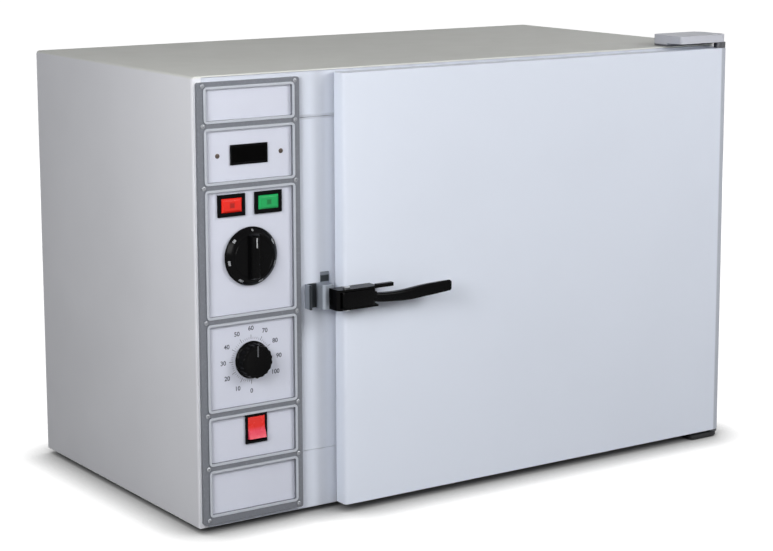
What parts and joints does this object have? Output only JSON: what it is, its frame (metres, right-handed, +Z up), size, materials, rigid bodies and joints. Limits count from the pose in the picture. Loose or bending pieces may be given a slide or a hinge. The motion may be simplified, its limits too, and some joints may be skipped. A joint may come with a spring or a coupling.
{
  "type": "laboratory oven",
  "caption": "Bench-top laboratory drying oven: insulated box with a side-hung latched door, wire shelves, and a column with display, lamps, thermostat, timer and switch.",
  "frame": {"origin": "middle of the underside of the whole oven, on the surface that it stands on", "axes": "+X to the right seen from the front, along the oven's width; -Y out of the front, through the door; +Z up"},
  "size_m": [0.7, 0.4384, 0.4847],
  "materials": {
    "cabinet_enamel": "satin",
    "door_enamel": "satin",
    "stainless_steel": "brushed",
    "galvanised_steel": "matte",
    "panel_trim": "metallic satin",
    "plate_paint": "satin",
    "terminal_ceramic": "matte",
    "chrome_plate": "polished",
    "bright_steel": "ground",
    "black_plastic": "gloss",
    "dark_rubber": "matte",
    "silicone_seal": "matte",
    "glass_wool": "fibrous",
    "element_sheath": "oxidised",
    "red_lens": "gloss",
    "green_lens": "gloss",
    "red_rocker": "gloss",
    "smoked_window": "gloss"
  },
  "bodies": {
    "cabinet": {"cabinet_wrapper": "cabinet_enamel", "base_pan": "galvanised_steel", "rear_cover": "cabinet_enamel", "foot_front_left": "dark_rubber", "foot_front_right": "dark_rubber", "foot_rear_left": "dark_rubber", "foot_rear_right": "dark_rubber", "front_top_rail": "cabinet_enamel", "front_bottom_rail": "cabinet_enamel", "front_mullion": "cabinet_enamel", "front_right_post": "cabinet_enamel", "control_bulkhead": "galvanised_steel", "chamber_liner": "stainless_steel", "chamber_insulation": "glass_wool", "chamber_floor_plate": "stainless_steel", "heating_element": "element_sheath", "shelf_rack_left": "stainless_steel", "shelf_rack_right": "stainless_steel", "control_frame": "panel_trim", "lower_badge_plate": "plate_paint", "switch_plate": "plate_paint", "timer_plate": "plate_paint", "thermostat_plate": "plate_paint", "display_plate": "plate_paint", "upper_badge_plate": "plate_paint", "display_bezel": "black_plastic", "display_window": "smoked_window", "red_lamp_body": "black_plastic", "red_lamp_lens": "red_lens", "green_lamp_body": "black_plastic", "green_lamp_lens": "green_lens", "thermostat_body": "galvanised_steel", "timer_body": "galvanised_steel", "switch_housing": "black_plastic", "thermostat_sensor": "bright_steel", "display_probe": "bright_steel", "vent_tube": "stainless_steel", "vent_cap": "stainless_steel", "mains_inlet": "black_plastic", "terminal_block": "terminal_ceramic", "upper_hinge_plate": "cabinet_enamel", "lower_hinge_plate": "dark_rubber", "upper_hinge_pin": "bright_steel", "lower_hinge_pin": "bright_steel", "latch_keeper": "chrome_plate"},
    "door": {"door_skin": "door_enamel", "door_inner_panel": "stainless_steel", "door_insulation": "glass_wool", "door_gasket": "silicone_seal", "upper_hinge_bush": "bright_steel", "lower_hinge_bush": "bright_steel", "latch_housing": "black_plastic", "latch_pin": "bright_steel"},
    "latch_lever": {"latch_lever": "black_plastic"},
    "thermostat_knob": {"thermostat_knob": "black_plastic"},
    "timer_knob": {"timer_knob": "black_plastic"},
    "power_rocker": {"power_rocker": "red_rocker"},
    "lower_shelf": {"lower_shelf": "chrome_plate"},
    "upper_shelf": {"upper_shelf": "chrome_plate"}
  },
  "joints": [
    {"name": "door_hinge", "type": "hinge", "parent": "cabinet", "child": "door", "pos_m": [0.3405, -0.18165, 0.239], "axis": [0, 0, 1], "range_deg": [0, 120]},
    {"name": "latch_pivot", "type": "hinge", "parent": "door", "child": "latch_lever", "pos_m": [-0.192, -0.19915, 0.235], "axis": [0, 0, -1], "range_deg": [0, 40]},
    {"name": "thermostat_turn", "type": "hinge", "parent": "cabinet", "child": "thermostat_knob", "pos_m": [-0.2883, -0.16865, 0.28565], "axis": [0, 1, 0], "range_deg": [0, 300]},
    {"name": "timer_turn", "type": "hinge", "parent": "cabinet", "child": "timer_knob", "pos_m": [-0.2883, -0.16865, 0.17711], "axis": [0, 1, 0], "range_deg": [0, 300]},
    {"name": "rocker_tilt", "type": "hinge", "parent": "cabinet", "child": "power_rocker", "pos_m": [-0.2843, -0.16575, 0.10399], "axis": [1, 0, 0], "range_deg": [0, 20]},
    {"name": "lower_shelf_slide", "type": "slide", "parent": "cabinet", "child": "lower_shelf", "axis": [0, -1, 0], "range_m": [0, 0.016]},
    {"name": "upper_shelf_slide", "type": "slide", "parent": "cabinet", "child": "upper_shelf", "axis": [0, -1, 0], "range_m": [0, 0.016]}
  ]
}
